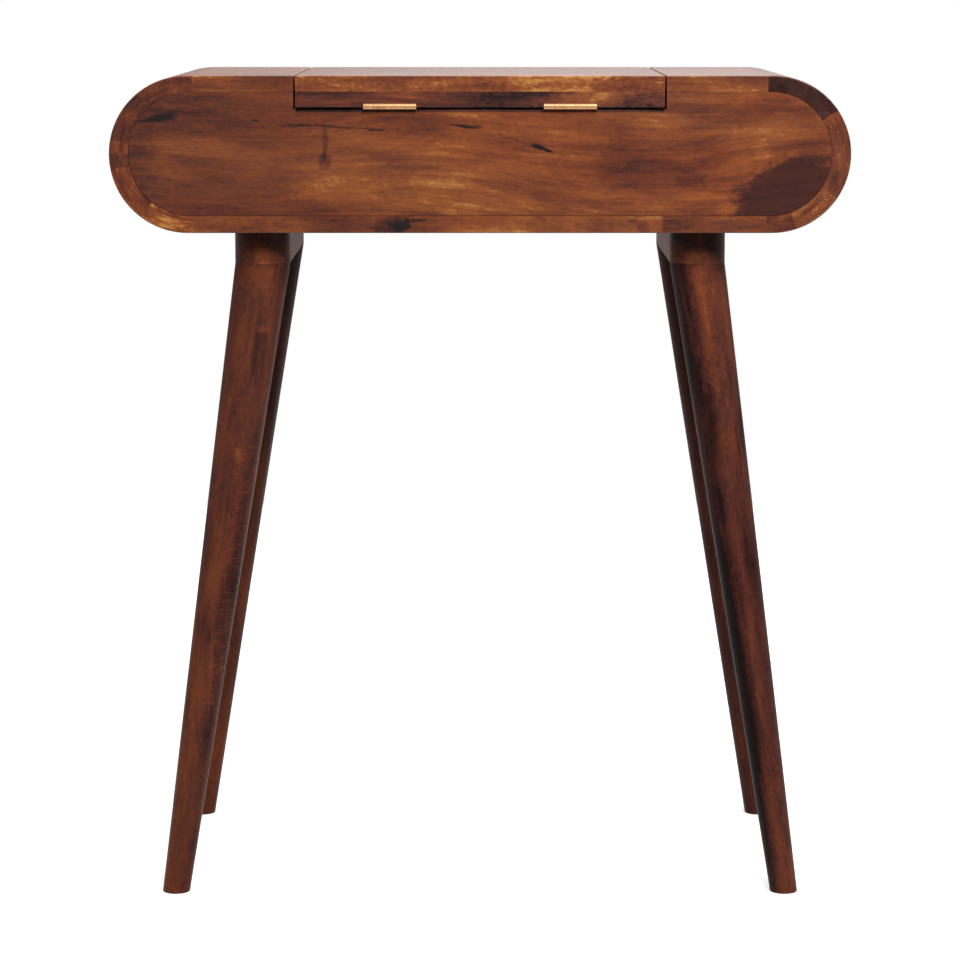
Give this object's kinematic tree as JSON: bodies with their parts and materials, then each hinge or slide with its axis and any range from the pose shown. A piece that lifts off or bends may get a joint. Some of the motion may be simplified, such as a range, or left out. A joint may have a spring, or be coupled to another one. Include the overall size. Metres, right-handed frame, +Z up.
{
  "type": "folding vanity table",
  "caption": "Dressing table with a stadium-shaped wooden body on splayed tapered legs; the middle of its top is a hinged lid with a mirror underneath that opens over a storage well.",
  "frame": {"origin": "on the floor, under the middle of the table", "axes": "+X along the table, +Y from the hinge side to the sitter's side, +Z up"},
  "size_m": [0.7, 0.3557, 0.79],
  "materials": {
    "chestnut_wood": "chestnut stain under satin lacquer",
    "leg_wood": "darker chestnut stain under satin lacquer",
    "plain_wood": "bare",
    "hardboard": "bare",
    "brass": "polished, slightly dulled",
    "steel": "zinc plated",
    "mirror": "silvered"
  },
  "bodies": {
    "table": {"bottom_board": "chestnut_wood", "hinge_fixed_leaf_left": "brass", "hinge_fixed_leaf_right": "brass", "hinge_fixed_screws": "brass", "hinge_pin_left": "brass", "hinge_pin_right": "brass", "joint_dowels": "plain_wood", "leg_bolts": "steel", "leg_hinge_left": "leg_wood", "leg_hinge_right": "leg_wood", "leg_inserts": "steel", "leg_rail_left": "chestnut_wood", "leg_rail_right": "chestnut_wood", "leg_user_left": "leg_wood", "leg_user_right": "leg_wood", "panel_hinge_side": "chestnut_wood", "panel_user_side": "chestnut_wood", "partition_left": "chestnut_wood", "partition_right": "chestnut_wood", "rail_screws": "steel", "round_end_left": "chestnut_wood", "round_end_right": "chestnut_wood", "stay_studs": "brass", "top_board_left": "chestnut_wood", "top_board_right": "chestnut_wood"},
    "lid": {"hinge_moving_leaf_left": "brass", "hinge_moving_leaf_right": "brass", "hinge_moving_screws": "brass", "lid_batten_hinge_side": "chestnut_wood", "lid_batten_left": "chestnut_wood", "lid_batten_right": "chestnut_wood", "lid_batten_user_side": "chestnut_wood", "lid_board": "chestnut_wood", "mirror_backing": "hardboard", "mirror_bead_hinge_side": "chestnut_wood", "mirror_bead_left": "chestnut_wood", "mirror_bead_right": "chestnut_wood", "mirror_bead_user_side": "chestnut_wood", "mirror_glass": "mirror", "stay_pivots": "brass"},
    "stay_left": {"stay_arm_left": "brass"},
    "stay_right": {"stay_arm_right": "brass"}
  },
  "joints": [
    {"name": "lid_hinge", "type": "hinge", "parent": "table", "child": "lid", "pos_m": [0, -0.1766, 0.7612], "axis": [1, 0, 0], "range_deg": [0, 100]},
    {"name": "stay_left_pivot", "type": "hinge", "parent": "lid", "child": "stay_left", "pos_m": [-0.1709, -0.12696, 0.7672], "axis": [1, 0, 0], "range_deg": [-50, 0]},
    {"name": "stay_right_pivot", "type": "hinge", "parent": "lid", "child": "stay_right", "pos_m": [0.1709, -0.12696, 0.7672], "axis": [1, 0, 0], "range_deg": [-50, 0]}
  ],
  "couplings": [
    {"joint": "stay_left_pivot", "follows": "lid_hinge", "ratio": -0.5},
    {"joint": "stay_right_pivot", "follows": "lid_hinge", "ratio": -0.5}
  ]
}
